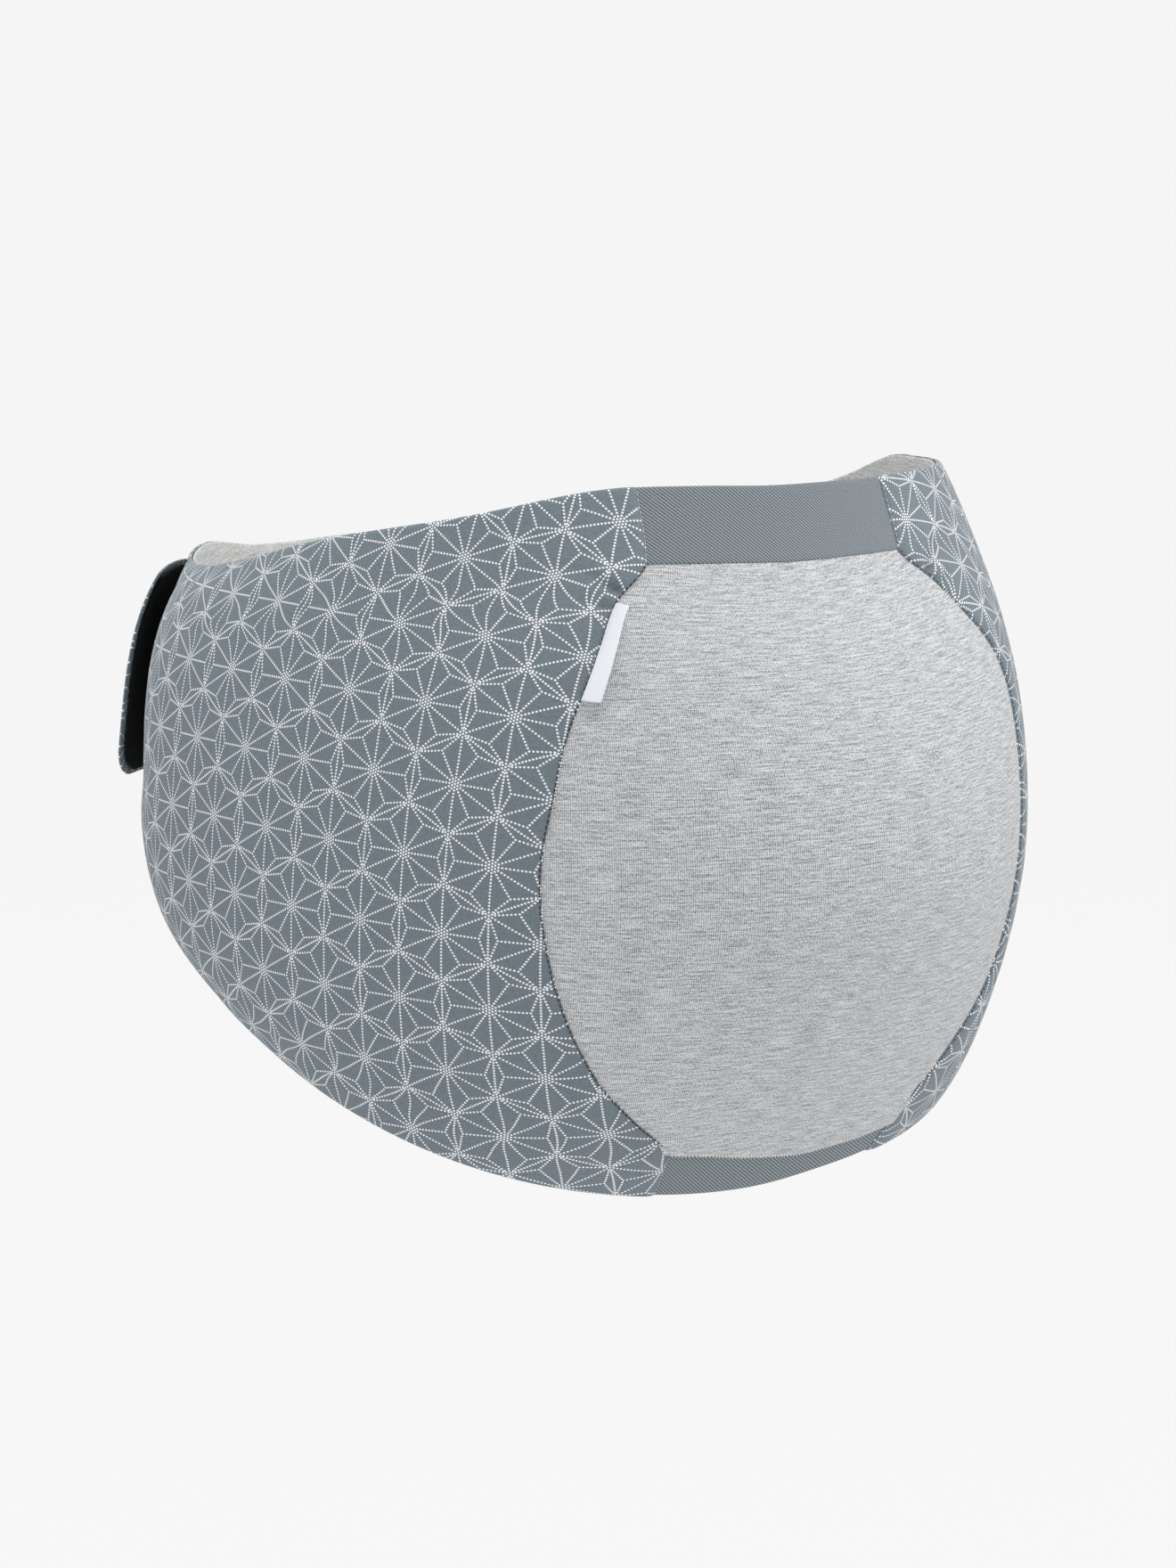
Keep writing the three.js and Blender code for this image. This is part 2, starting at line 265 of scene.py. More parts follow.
# %% [markdown]
# ## Rim, hem and seam
# The belt's edges are heights by angle: the rim falls towards the back, the hem climbs from under the belly
# to the back, and both differ a little from left to right. The seam between front and wing is an angle by
# share of the height, so it bows round the belly. Every piece of cloth uses the same three curves and
# therefore meets its neighbours.

# %% Edges
EDGE_ANGLE = np.array([-180, -155, -137, -118, -100, -88, -75, -50, -25, -12, 0,
                       12, 25, 50, 75, 88, 100, 118, 137, 155, 180])
RIM = np.array([88.5, 89.5, 96.5, 96, 99.5, 106.5, 115.5, 127.5, 138.5, 138.2, 136.5,
                135.6, 134.5, 132, 128.5, 125.5, 114, 99, 94, 90, 88.5]) * MM
HEM = np.array([-18, -29, -42, -55.5, -72.5, -89.4, -108.5, -136, -151.5, -155.2, -155.5,
                -151.9, -148, -135, -108.5, -89.4, -72.5, -55.5, -42, -29, -18]) * MM
PAD_ANGLE = np.array([0, 25, 50, 75, 88, 100, 118, 137, 155, 180])
PAD = np.array([0, 3, 4, 14.5, 20.6, 23.5, 17, 12.5, 7.5, 4.5]) * MM
LOWER_BAND_TOP, UPPER_BAND_BOTTOM = 0.07, 0.898
SEAM_SHARE = np.array([0, 0.055, LOWER_BAND_TOP, 0.12, 0.17, 0.22, 0.3, 0.4, 0.5,
                       0.6, 0.68, 0.74, 0.8, 0.85, UPPER_BAND_BOTTOM, 0.91, 1])
SEAM_RIGHT = np.array([18.5, 19.3, 19.5, 26.5, 32.6, 36.5, 40.7, 43.6, 44.1,
                       42, 39.5, 36.2, 32.2, 28.3, 22.5, 22.2, 22])
SEAM_LEFT = np.array([22.5, 23, 23.2, 27.5, 33, 39.5, 45, 47, 48,
                      48, 45.5, 40.5, 33.5, 28.3, 22.5, 22.8, 24.3])


def folded(angle):
    """An angle past 180 degrees, brought back to the right side."""
    return np.where(angle > 180, angle - 360, angle)


def hem(angle):
    return smooth_curve(EDGE_ANGLE, HEM, folded(angle))


def rim(angle):
    return smooth_curve(EDGE_ANGLE, RIM, folded(angle))


def seam(share, side):
    """Angle between the front's middle and a seam; the side is below zero on the right."""
    on_right, on_left = (smooth_curve(SEAM_SHARE, angles, share) for angles in (SEAM_RIGHT, SEAM_LEFT))
    return np.where(side > 0, on_left, on_right)


def height_at(angle, share):
    return hem(angle) + share * (rim(angle) - hem(angle))


def on_belt(angle, share, offset):
    """A point at a share of the height from hem to rim, at that distance out of the torso."""
    return on_torso(angle, height_at(angle, share), offset)


FRONT_HEIGHT = float(rim(0) - hem(0))
print("height at the front, m:", round(FRONT_HEIGHT, 3))

# %% [markdown]
# ## Cloth as a closed sheet
# Each piece of cloth is two grids of points, its outer and its inner face, joined by a strip round the edge.
# Thickness could come from a Solidify modifier, but two grids let the edge be rolled, and let a margin dive
# under the next piece. A rolled edge needs a few rows very close to it.

# %% Sheet helpers
EDGE_ROWS = np.array([0, 0.12, 0.45])
LEAST_EDGE = 0.25


def edged_steps(count, length, roll):
    """Shares from 0 to 1 in even steps, with three more next to each end, inside the rolled edge."""
    near = EDGE_ROWS * roll / length
    middle = np.linspace(roll / length, 1 - roll / length, count)
    return np.concatenate([near, middle, 1 - near[::-1]])


def rolled(share, length, roll):
    """Share of the thickness near an edge: a quarter circle over the roll's width, and a quarter at least."""
    inside = np.clip(np.minimum(share, 1 - share) * length / roll, 0, 1)
    return np.maximum(np.sqrt(1 - (1 - inside) ** 2), LEAST_EDGE)


def closed_sheet(name, outer, inner, flat):
    """Outer grid, inner grid turned over, and a strip of quads between their edges. Columns run towards the
    wearer's left and rows upwards, so faces point out. flat holds each point's place on the flat cloth, in
    metres, and becomes the UV map."""
    across, along = outer.shape[:2]
    index = np.arange(across * along).reshape(across, along)
    face = np.stack([index[:-1, :-1], index[1:, :-1], index[1:, 1:], index[:-1, 1:]], -1).reshape(-1, 4)
    edge = np.concatenate([index[:-1, 0], index[-1, :-1], index[:0:-1, -1], index[0, :0:-1]])
    after, under = np.roll(edge, -1), across * along
    strip = np.stack([edge + under, after + under, after, edge], 1)
    points = np.concatenate([outer.reshape(-1, 3), inner.reshape(-1, 3)])
    piece = new_mesh(name, points, np.concatenate([face, face[:, ::-1] + under, strip]))
    corner = np.zeros(len(piece.data.loops), np.int32)
    piece.data.loops.foreach_get("vertex_index", corner)
    place = np.tile(flat.reshape(-1, 2), (2, 1))[corner]
    piece.data.uv_layers.new(name="cloth").data.foreach_set("uv", place.astype(np.float32).ravel())
    return piece


# %% [markdown]
# ## Laying the cloth flat
# Weave and print are drawn on flat cloth, before it is cut and sewn, so a pattern has to know where each
# point of the curved piece was on the flat cloth. Unwrapping in Blender would do; here a net of springs
# settles in the plane until each spring is as long as it is on the piece. The UV map is then in real metres.

# %% Flat cloth
NET_COLUMNS, NET_ROWS, NET_ROUNDS, NET_STEP = 33, 19, 1800, 0.24
FIRST, LAST, ALL = slice(None, -1), slice(1, None), slice(None)
SPRINGS = [((FIRST, ALL), (LAST, ALL)), ((ALL, FIRST), (ALL, LAST)),
           ((FIRST, FIRST), (LAST, LAST)), ((LAST, FIRST), (FIRST, LAST))]


def lengths(vectors):
    return np.linalg.norm(vectors, axis=-1, keepdims=True)


def lay_flat(face, u, v):
    """Flat place of each point of face(u, v). A coarse net starts from lengths along its middle row and up
    its columns; in each round every spring moves its two ends by a share of what it is too long or too
    short; the fine grid is read off the settled net by smooth curves. The net's middle is the origin, level
    there."""
    net_u = np.linspace(0, 1, NET_COLUMNS)
    net_v = 0.5 - 0.5 * np.cos(np.pi * np.linspace(0, 1, NET_ROWS))
    solid = face(net_u[:, None], net_v[None, :])
    mid_u, mid_v = NET_COLUMNS // 2, NET_ROWS // 2
    along = np.cumsum(np.linalg.norm(np.diff(solid[:, mid_v], axis=0), axis=-1))
    rise = np.pad(np.cumsum(np.linalg.norm(np.diff(solid, axis=1), axis=-1), axis=1), ((0, 0), (1, 0)))
    rise = rise - rise[:, mid_v:mid_v + 1]
    flat = np.stack([np.concatenate([[0], along])[:, None] + 0 * rise, rise], -1)
    rest = [lengths(solid[far] - solid[near]) for near, far in SPRINGS]
    for _ in range(NET_ROUNDS):
        pull = np.zeros_like(flat)
        for (near, far), length in zip(SPRINGS, rest):
            gap = flat[far] - flat[near]
            move = gap * (1 - length / lengths(gap)) / 2
            pull[near] += move
            pull[far] -= move
        flat += pull * NET_STEP
    level = unit(flat[mid_u + 1, mid_v] - flat[mid_u - 1, mid_v])
    flat = (flat - flat[mid_u, mid_v]) @ np.array([[level[0], -level[1]], [level[1], level[0]]])
    read_u = np.stack([smooth_curve(net_u, row, u) for row in np.eye(NET_COLUMNS)], -1)
    read_v = np.stack([smooth_curve(net_v, row, v) for row in np.eye(NET_ROWS)], -1)
    return np.einsum("ua,abk,vb->uvk", read_u, flat, read_v)


def flat_size(flat):
    """Width, length and area of the flat cloth: its extents, and the sum of its cells' areas."""
    low, high = flat.reshape(-1, 2).min(0), flat.reshape(-1, 2).max(0)
    one, two = flat[1:, 1:] - flat[:-1, :-1], flat[:-1, 1:] - flat[1:, :-1]
    area = np.abs(one[..., 0] * two[..., 1] - one[..., 1] * two[..., 0]).sum() / 2
    return tuple(round(float(x), 3) for x in high - low), round(float(area), 5)


# %% Rolled sheet
def rolled_sheet(name, point, cut, counts, size, roll, finish):
    """A sheet whose outer face is point(u, v, 1) and whose inner face is point(u, v, -1), both drawn together
    in the rolled edge. The face cut(u, v) is the one laid flat. Gives the piece and its flat cloth."""
    u, v = (edged_steps(count, length, roll) for count, length in zip(counts, size))
    edge = rolled(u, size[0], roll)[:, None] * rolled(v, size[1], roll)[None, :]
    outer, inner = (point(u[:, None], v[None, :], face) for face in (edge, -edge))
    flat = lay_flat(cut, u, v)
    piece = closed_sheet(name, outer, inner, flat)
    piece.data.materials.append(finish)
    return piece, flat


# %% [markdown]
# ## Effects that several cloths share
# Yarn colours and weaves are node groups: heather flecks for the jersey and the lining, knit columns for
# both and for the printed cover, and twill ribs for the elastic and the label. Each reads the cloth's UV
# map in metres, so a stitch or a rib has its real width on every piece. A formula of node outputs is
# written as a formula: each operator adds one Math node.

# %% Node helpers
class Term:
    """A node's output as a term of a formula. Each operator, and each call of math, adds one Math node."""

    def __init__(self, tree, socket):
        self.tree, self.socket = tree, socket

    def feed(self, socket):
        """Joins the term to a node's input."""
        self.tree.links.new(self.socket, socket)

    def math(self, operation, *others):
        node = self.tree.nodes.new("ShaderNodeMath")
        node.operation = operation
        for socket, value in zip(node.inputs, (self, *others)):
            if isinstance(value, Term):
                value.feed(socket)
            else:
                socket.default_value = value
        return Term(self.tree, node.outputs[0])

    def __add__(self, other):
        return self.math("ADD", other)

    def __sub__(self, other):
        return self.math("SUBTRACT", other)

    def __mul__(self, other):
        return self.math("MULTIPLY", other)

    def __truediv__(self, other):
        return self.math("DIVIDE", other)


def new_group(name, output, **numbers):
    """A shader group with a Vector input, a number input for each name and value, and one output. Gives its
    tree, the output's socket, the vector's x and y, and the number inputs."""
    tree = bpy.data.node_groups.new(name, "ShaderNodeTree")
    add = tree.interface.new_socket
    add("Vector", in_out="INPUT", socket_type="NodeSocketVector")
    for label, value in numbers.items():
        add(label, in_out="INPUT", socket_type="NodeSocketFloat").default_value = value
    add(output, in_out="OUTPUT", socket_type="NodeSocketFloat")
    given, result = tree.nodes.new("NodeGroupInput"), tree.nodes.new("NodeGroupOutput")
    split = tree.nodes.new("ShaderNodeSeparateXYZ")
    tree.links.new(given.outputs["Vector"], split.inputs[0])
    sockets = [split.outputs[0], split.outputs[1]] + [given.outputs[label] for label in numbers]
    return tree, result.inputs[output], *(Term(tree, socket) for socket in sockets)


def noise(x, y):
    """A Noise Texture on the point (x, y): a value about a half that changes over a length of one."""
    point, node = x.tree.nodes.new("ShaderNodeCombineXYZ"), x.tree.nodes.new("ShaderNodeTexNoise")
    x.feed(point.inputs[0])
    y.feed(point.inputs[1])
    Term(x.tree, point.outputs[0]).feed(node.inputs["Vector"])
    give(node, {"Scale": 1.0})
    return Term(x.tree, node.outputs[0])


def spread(term, low, high, kind="LINEAR"):
    """Stretches the range from low to high over 0 to 1, and holds it between them."""
    node = term.tree.nodes.new("ShaderNodeMapRange")
    node.interpolation_type = kind
    give(node, {"From Min": low, "From Max": high})
    term.feed(node.inputs["Value"])
    return Term(term.tree, node.outputs["Result"])


# %% Heather flecks
SHORT_ALONG, SHORT_UP = 4.0, 1.3
GRAIN_ALONG, GRAIN_UP = 1500.0, 1000.0
LONG_PART, SHORT_PART, GRAIN_PART = 0.35, 0.25, 0.4


def heather_group():
    """Two noises drawn out along the knitted rows, one long and one short, and a fine grain; their weighted
    sum is a shade about a half."""
    tree, shade, x, y, length, width = new_group("heather_flecks", "Shade", Length=0.013, Width=0.0007)
    far, near = x / length, y / width
    flecks = noise(far, near) * LONG_PART + noise(far * SHORT_ALONG, near * SHORT_UP) * SHORT_PART
    (flecks + noise(x * GRAIN_ALONG, y * GRAIN_UP) * GRAIN_PART).feed(shade)
    return tree


# %% Knit columns
LOOP_PART = 0.3


def knit_group():
    """Height of a plain knit: each column is a rounded ridge, half a sine wide, and each row of stitches
    slants up towards the middle of its column, which gives the V of a knitted loop."""
    tree, height, x, y, column, row = new_group("knit_columns", "Height", Column=0.0006, Row=0.0005)
    across = (x / column).math("PINGPONG", 0.5)
    ridge = (across * math.pi).math("SINE")
    loop = ((y / row - across) * (2 * math.pi)).math("SINE")
    (ridge + loop * LOOP_PART).feed(height)
    return tree


# %% Twill ribs
RIB_PART, ROUGH_SCALE = 0.33, 2400.0


def twill_group():
    """Height of a twill: a sine across ridges that lean as far along for each step up as Lean says, with a
    fine noise added."""
    tree, height, x, y, rib, lean = new_group("twill_ribs", "Height", Rib=0.00125, Lean=1.0)
    phase = (x + y * lean) / ((lean * lean + 1.0).math("SQRT") * rib)
    wave = (phase * (2 * math.pi)).math("SINE")
    (wave * RIB_PART + noise(x * ROUGH_SCALE, y * ROUGH_SCALE)).feed(height)
    return tree


HEATHER, KNIT, TWILL = heather_group(), knit_group(), twill_group()
print("groups:", [(g.name, len(g.nodes)) for g in (HEATHER, KNIT, TWILL)])

# %% [markdown]
# ## The hemp-leaf print
# The printed cover carries asanoha, the traditional hemp-leaf pattern, drawn in small white dots. Its frame
# is a honeycomb: from each cell's centre six long rays run to the corners and six short rays to points just
# inside the sides; each of those points is joined to the two ends of its side, and the side itself is drawn.
# By symmetry one twelfth of a cell holds it all: fold the point into that wedge, then measure the distance
# to the nearest dot on four short lines.

# %% Hemp-leaf dots
STAR_SPACING = 0.0355
CORNER = (0.5, 0.5 / math.sqrt(3))
POINT_INSIDE = 0.405
DOT_RADIUS = 0.012
DOT_EDGE = 0.003
RAY_START, SHORT_START = 0.036, 0.064


def nearest_dot(x, y, start, end, first, last, count):
    """Distance to the nearest of count dots, spread evenly on the line from start to end between the lengths
    first and last: the length along the line is rounded to a whole dot, then measured back."""
    length = math.dist(start, end)
    way = ((end[0] - start[0]) / length, (end[1] - start[1]) / length)
    pitch = (last - first) / (count - 1)
    dx, dy = x - start[0], y - start[1]
    along, aside = dx * way[0] + dy * way[1], dy * way[0] - dx * way[1]
    whole = ((along - first) / pitch).math("ROUND").math("MAXIMUM", 0.0).math("MINIMUM", count - 1.0)
    over = along - (whole * pitch + first)
    return (over * over + aside * aside).math("SQRT")


def hemp_leaf_group():
    """Nearest cell centre of two staggered grids, then the angle round it folded to 30 degrees, then the
    least distance to a dot of the four lines in that wedge. Lengths are in star spacings."""
    tree, dots, x, y, spacing = new_group("hemp_leaf_dots", "Dots", Spacing=STAR_SPACING)
    x, y = x / spacing, y / spacing
    half = math.sqrt(3) / 2
    x1, y1 = x.math("WRAP", 0.5, -0.5), y.math("WRAP", half, -half)
    x2, y2 = (x + 0.5).math("WRAP", 0.5, -0.5), (y + half).math("WRAP", half, -half)
    far1, far2 = x1 * x1 + y1 * y1, x2 * x2 + y2 * y2
    other = far2.math("LESS_THAN", far1)
    cx, cy = (x2 - x1) * other + x1, (y2 - y1) * other + y1
    wedge = math.pi / 6
    turn = cy.math("ARCTAN2", cx).math("WRAP", wedge, -wedge).math("ABSOLUTE")
    away = far1.math("MINIMUM", far2).math("SQRT")
    fx, fy = away * turn.math("COSINE"), away * turn.math("SINE")
    inside = (POINT_INSIDE, 0)
    lines = [
        # start, end, length to the first dot and to the last one, dots
        ((0, 0), CORNER, RAY_START, math.hypot(*CORNER), 15),
        ((0, 0), inside, SHORT_START, POINT_INSIDE, 10),
        (inside, CORNER, 0.0, math.dist(inside, CORNER) - SHORT_START, 7),
        ((0.5, 0), CORNER, 0.0, CORNER[1] - RAY_START, 8),
    ]
    least = away
    for line in lines:
        least = least.math("MINIMUM", nearest_dot(fx, fy, *line))
    spread(least, DOT_RADIUS + DOT_EDGE, DOT_RADIUS - DOT_EDGE, "SMOOTHSTEP").feed(dots)
    return tree


HEMP_LEAF = hemp_leaf_group()
print("hemp-leaf nodes:", len(HEMP_LEAF.nodes))

# %% [markdown]
# ## Cloth finishes
# All the cloths are rough and matt with a little sheen from loose fibres. A finish is a Principled shader
# fed by the groups: two yarn colours mixed by a shade that also holds painted shade in the weave's hollows,
# a roughness that follows the same shade, and a bump from the weave's height. Jersey is knitted; elastic,
# hook tape and label are woven.

# %% Finish helpers
CLOTH_ROUGHNESS, ROUGHNESS_RISE = 0.82, 0.12
CLOTH_SPECULAR, SHEEN_ROUGHNESS = 0.25, 0.6


def colour(red, green, blue):
    """Screen values from 0 to 255 as linear light: squeezed through the sRGB curve."""
    screen = np.array([red, green, blue]) / 255
    linear = np.where(screen <= 0.04045, screen / 12.92, ((screen + 0.055) / 1.055) ** 2.4)
    return (*linear.tolist(), 1)


def place_group(group, vector, **numbers):
    """Puts a group into a material, on that vector, with its own values."""
    node = vector.tree.nodes.new("ShaderNodeGroup")
    node.node_tree = group
    vector.feed(node.inputs["Vector"])
    give(node, numbers)
    return Term(vector.tree, node.outputs[0])


def blend(share, low, high):
    """A Mix node between two colours; each is a colour or another node's output."""
    node = share.tree.nodes.new("ShaderNodeMix")
    node.data_type = "RGBA"
    share.feed(node.inputs["Factor"])
    for socket, value in ((node.inputs[6], low), (node.inputs[7], high)):
        if isinstance(value, Term):
            value.feed(socket)
        else:
            socket.default_value = value
    return Term(share.tree, node.outputs[2])


def new_finish(name, sheen):
    """A material with a Principled shader; gives it with its shader and the cloth's UV map."""
    finish, shader = new_material(name)
    give(shader, {"Specular IOR Level": CLOTH_SPECULAR, "Sheen Weight": sheen,
                  "Sheen Roughness": SHEEN_ROUGHNESS})
    place = finish.node_tree.nodes.new("ShaderNodeUVMap")
    place.uv_map = "cloth"
    return finish, shader, Term(finish.node_tree, place.outputs[0])


def wire_up(shader, base, shade, height, depth, strength):
    """Joins colour, roughness and bump to the shader; roughness rises with the shade."""
    base.feed(shader.inputs["Base Color"])
    (shade * ROUGHNESS_RISE + CLOTH_ROUGHNESS).feed(shader.inputs["Roughness"])
    bump = base.tree.nodes.new("ShaderNodeBump")
    give(bump, {"Strength": strength, "Distance": depth})
    height.feed(bump.inputs["Height"])
    Term(base.tree, bump.outputs[0]).feed(shader.inputs["Normal"])


# %% Knitted and woven finishes
KNIT_RANGE, KNIT_DEPTH, KNIT_STRENGTH = (-0.2, 1.2), 0.2 * MM, 0.5
FLECK_LIGHT, COLUMN_PAINTED_SHADE, YARN_LIGHT = 0.75, 0.7, -0.2
JERSEY_KNIT = {"Column": 0.0008, "Row": 0.00068}


def jersey_finish(name, dark, light, contrast, sheen):
    """Heather jersey: dark and light yarn by flecks, painted shade between the knit columns, a knit bump."""
    finish, shader, uv = new_finish(name, sheen)
    fleck = spread(place_group(HEATHER, uv), 0.5 - contrast, 0.5 + contrast)
    knit = place_group(KNIT, uv, **JERSEY_KNIT)
    # Painted shade: the colour darkens between the knit columns, by the knit's height.
    lit = fleck * FLECK_LIGHT + (spread(knit, *KNIT_RANGE) * COLUMN_PAINTED_SHADE + YARN_LIGHT)
    wire_up(shader, blend(lit, colour(*dark), colour(*light)), fleck, knit, KNIT_DEPTH, KNIT_STRENGTH)
    return finish


def woven_finish(name, dark, light, sheen, depth, strength, **weave):
    """Woven cloth: light rib crests and painted shade between them, with a bump to match."""
    finish, shader, uv = new_finish(name, sheen)
    # Painted shade: the colour follows the rib height, dark in the hollows.
    rib = spread(place_group(TWILL, uv, **weave), 0.0, 1.0)
    wire_up(shader, blend(rib, colour(*dark), colour(*light)), rib, rib, depth, strength)
    return finish


JERSEY = jersey_finish("heather_jersey", (100, 103, 106), (232, 234, 236), 0.105, 0.06)
LINING = jersey_finish("brushed_lining", (132, 133, 132), (236, 237, 235), 0.11, 0.15)
print("finishes:", JERSEY.name, LINING.name)

# %% [markdown]
# ## The belly panel
# The front is one piece of stretch jersey, drawn smooth over the belly. It runs from seam to seam. At its
# top a margin dives under the upper band; at its bottom its cut edge lies on the lower band, and gathers a
# little where the elastic pulls it in. It is a grid over the angle and the height, with its layers' heights
# as the two offsets.

# %% Front pieces
SEAM_MARGIN = 1.0
JERSEY_THICK, BAND_THICK = 1.4 * MM, 1.6 * MM
TUCK = 3.2 * MM
FRONT_WIDTH = 0.2


def front_angle(u, share):
    """u runs from the right seam to the left one, and a margin past each."""
    first, last = -seam(share, -1) - SEAM_MARGIN, seam(share, 1) + SEAM_MARGIN
    return first + u * (last - first)


def front_sheet(name, low, high, outside, inside, counts, finish):
    """A front piece between two shares of the height, low(u) and high, whose faces lie at the offsets
    outside(angle, share) and inside(share). It is laid flat as it lies at a band's thickness."""
    def place(u, v):
        share = low(u) + v * (high - low(u))
        return front_angle(u, share), share

    def point(u, v, face):
        angle, share = place(u, v)
        over, under = outside(angle, share), inside(share)
        return on_belt(angle, share, (over + under) / 2 + (over - under) / 2 * face)

    size = (FRONT_WIDTH, (high - float(low(0.5))) * FRONT_HEIGHT)
    return rolled_sheet(
        name, point, lambda u, v: on_belt(*place(u, v), BAND_THICK), counts, size, BAND_THICK, finish)


# %% Belly panel
GATHER_DEPTH, GATHER_REACH, GATHERS = 0.35 * MM, 0.05, 23
GATHER_BEAT, GATHER_PHASE = 0.37, 1
UNDER, DIP_SHARE = 0.6 * MM, 0.004
EDGE_ABOVE, OVERHANG, OVERHANG_FULL = 0.003, 0.026, 0.8
OVER_BAND, OVER_SHARES = BAND_THICK + 0.1 * MM, (-0.002, 0.035)


def jersey_edge(u):
    """The cut edge: at the band's top on the right, and hanging over the band towards the left."""
    return LOWER_BAND_TOP + EDGE_ABOVE - OVERHANG * ramp(u, 0.0, OVERHANG_FULL)


def jersey_inside(share):
    """On the torso, but raised onto the lower band where the jersey lies over it."""
    return OVER_BAND * (1 - ramp(share - LOWER_BAND_TOP, *OVER_SHARES))


def jersey_outside(angle, share):
    """The jersey's outer face: its thickness over the inner one, dipped under the upper band, with gathers
    above the lower band which fade upwards."""
    dip = (JERSEY_THICK - UNDER) * ramp(share, UPPER_BAND_BOTTOM - DIP_SHARE, UPPER_BAND_BOTTOM)
    fade = np.exp(-np.clip(share - LOWER_BAND_TOP, 0, 1) / GATHER_REACH)
    turn = np.radians(angle) * GATHERS
    wave = np.sin(turn) * np.sin(turn * GATHER_BEAT + GATHER_PHASE)
    return JERSEY_THICK + jersey_inside(share) - dip + GATHER_DEPTH * fade * wave


belly_top = UPPER_BAND_BOTTOM + TUCK / FRONT_HEIGHT
belly_panel, belly_flat = front_sheet(
    "belly_panel_cloth", jersey_edge, belly_top, jersey_outside, jersey_inside, (120, 110), JERSEY)
print("belly panel, flat:", flat_size(belly_flat))

# %% [markdown]
# ## The elastic bands
# Two strips of woven elastic edge the front, one above the belly and one under it. The weave is a twill: its
# ribs run down to the right, light on their crests with painted shade between them. The upper band overlaps
# the jersey; the lower band's margin lies under it.

# %% Bands
BAND_COUNTS = (90, 20)
UPPER_RAISED, UPPER_SHARES = 0.75 * MM, (0.012, 0.03)
ELASTIC = woven_finish("twill_elastic", (42, 50, 56), (166, 176, 182), 0.1, 0.3 * MM, 0.6)


def upper_inside(share):
    """Raised over the jersey's margin, and on the torso above it."""
    return UPPER_RAISED * (1 - ramp(share - UPPER_BAND_BOTTOM, *UPPER_SHARES))


def lower_outside(angle, share):
    """A band's thickness, dipped under the jersey at its top."""
    return BAND_THICK - (BAND_THICK - UNDER) * ramp(share, LOWER_BAND_TOP - DIP_SHARE, LOWER_BAND_TOP)


upper_band, upper_flat = front_sheet(
    "upper_band_elastic", lambda u: UPPER_BAND_BOTTOM + 0 * u, 1,
    lambda angle, share: BAND_THICK, upper_inside, BAND_COUNTS, ELASTIC)
lower_band, lower_flat = front_sheet(
    "lower_band_elastic", lambda u: 0 * u, LOWER_BAND_TOP + TUCK / FRONT_HEIGHT,
    lower_outside, lambda share: 0, BAND_COUNTS, ELASTIC)
print("bands, flat:", flat_size(upper_flat), flat_size(lower_flat))

# %% [markdown]
# ## The padded wings
# Each wing is a printed cover over soft filling. Its outer face follows the torso at a distance that swells
# from the seam and rounds off at rim and hem, and the closing tab presses it in at the back. The cover
# starts a little slack; Blender's cloth, with air pressed into it and its seams held, then fills it out as
# filling would. The swelling is capped, so the wing keeps its size.

# %% Printed finish
PRINT_FLECKS, PRINT_RANGE = {"Length": 0.0016, "Width": 0.0011}, (0.3, 0.7)
PRINT_KNIT = {"Column": 0.0007, "Row": 0.0006}
GROUND_DARK, GROUND_LIGHT = colour(70, 82, 90), colour(139, 151, 159)
INK, PAINTED_FOLD_SHADE = colour(250, 252, 253), colour(40, 46, 50)
DOT_HEIGHT, KNIT_HEIGHT = 0.5, 0.6


def print_finish():
    """Slate knit with white dots: the ground's two yarns by the mean of flecks and of painted shade between
    the knit columns, the dots' ink over them, and painted shade in sharp folds, from the cover's own
    attribute."""
    finish, shader, uv = new_finish("hemp_leaf_print", 0.15)
    fleck = spread(place_group(HEATHER, uv, **PRINT_FLECKS), *PRINT_RANGE)
    knit = place_group(KNIT, uv, **PRINT_KNIT)
    dots = place_group(HEMP_LEAF, uv)
    # Painted shade: half of the ground's mix darkens between the knit columns.
    ground = blend((spread(knit, *KNIT_RANGE) + fleck) / 2, GROUND_DARK, GROUND_LIGHT)
    # Painted shade in the creases: the fold attribute mixes the print towards a dark slate.
    fold = finish.node_tree.nodes.new("ShaderNodeAttribute")
    fold.attribute_name = "fold"
    base = blend(Term(uv.tree, fold.outputs["Fac"]), blend(dots, ground, INK), PAINTED_FOLD_SHADE)
    height = dots * DOT_HEIGHT + knit * KNIT_HEIGHT
    wire_up(shader, base, fleck, height, KNIT_DEPTH, KNIT_STRENGTH)
    return finish


PRINT = print_finish()

# %% Wing surface
LINING_THICK, COVER_THICK, GAP = 1.2 * MM, 1.6 * MM, 0.4 * MM
WING_END, SEAM_TAPER, END_TAPER = 177, 9, 9
PAD_EVEN, PAD_THIN = 3, 0.65
WING_INSIDE = LINING_THICK + GAP
TAB_PRESS = 3.5 * MM
PRESS_GROWS, PRESS_FADES, PRESS_FOOT = (200, 222), (238, 262), (-8 * MM, 10 * MM)


def wing_swell(angle, share):
    """Padding over the cover: its table by angle, times a quarter sine from the seam and from the back end,
    times a rounding over the height: one minus the third power of the distance from the middle, and of that
    a power that thins it towards rim and hem."""
    away = np.abs(folded(angle))
    from_seam = np.sin(np.clip((away - seam(share, folded(angle))) / SEAM_TAPER, 0, 1) * np.pi / 2)
    from_end = np.sin(np.clip((WING_END - away) / END_TAPER, 0, 1) * np.pi / 2)
    rounding = (1 - np.abs(1 - 2 * share) ** PAD_EVEN) ** PAD_THIN
    return smooth_curve(PAD_ANGLE, PAD, away) * from_seam * from_end * rounding


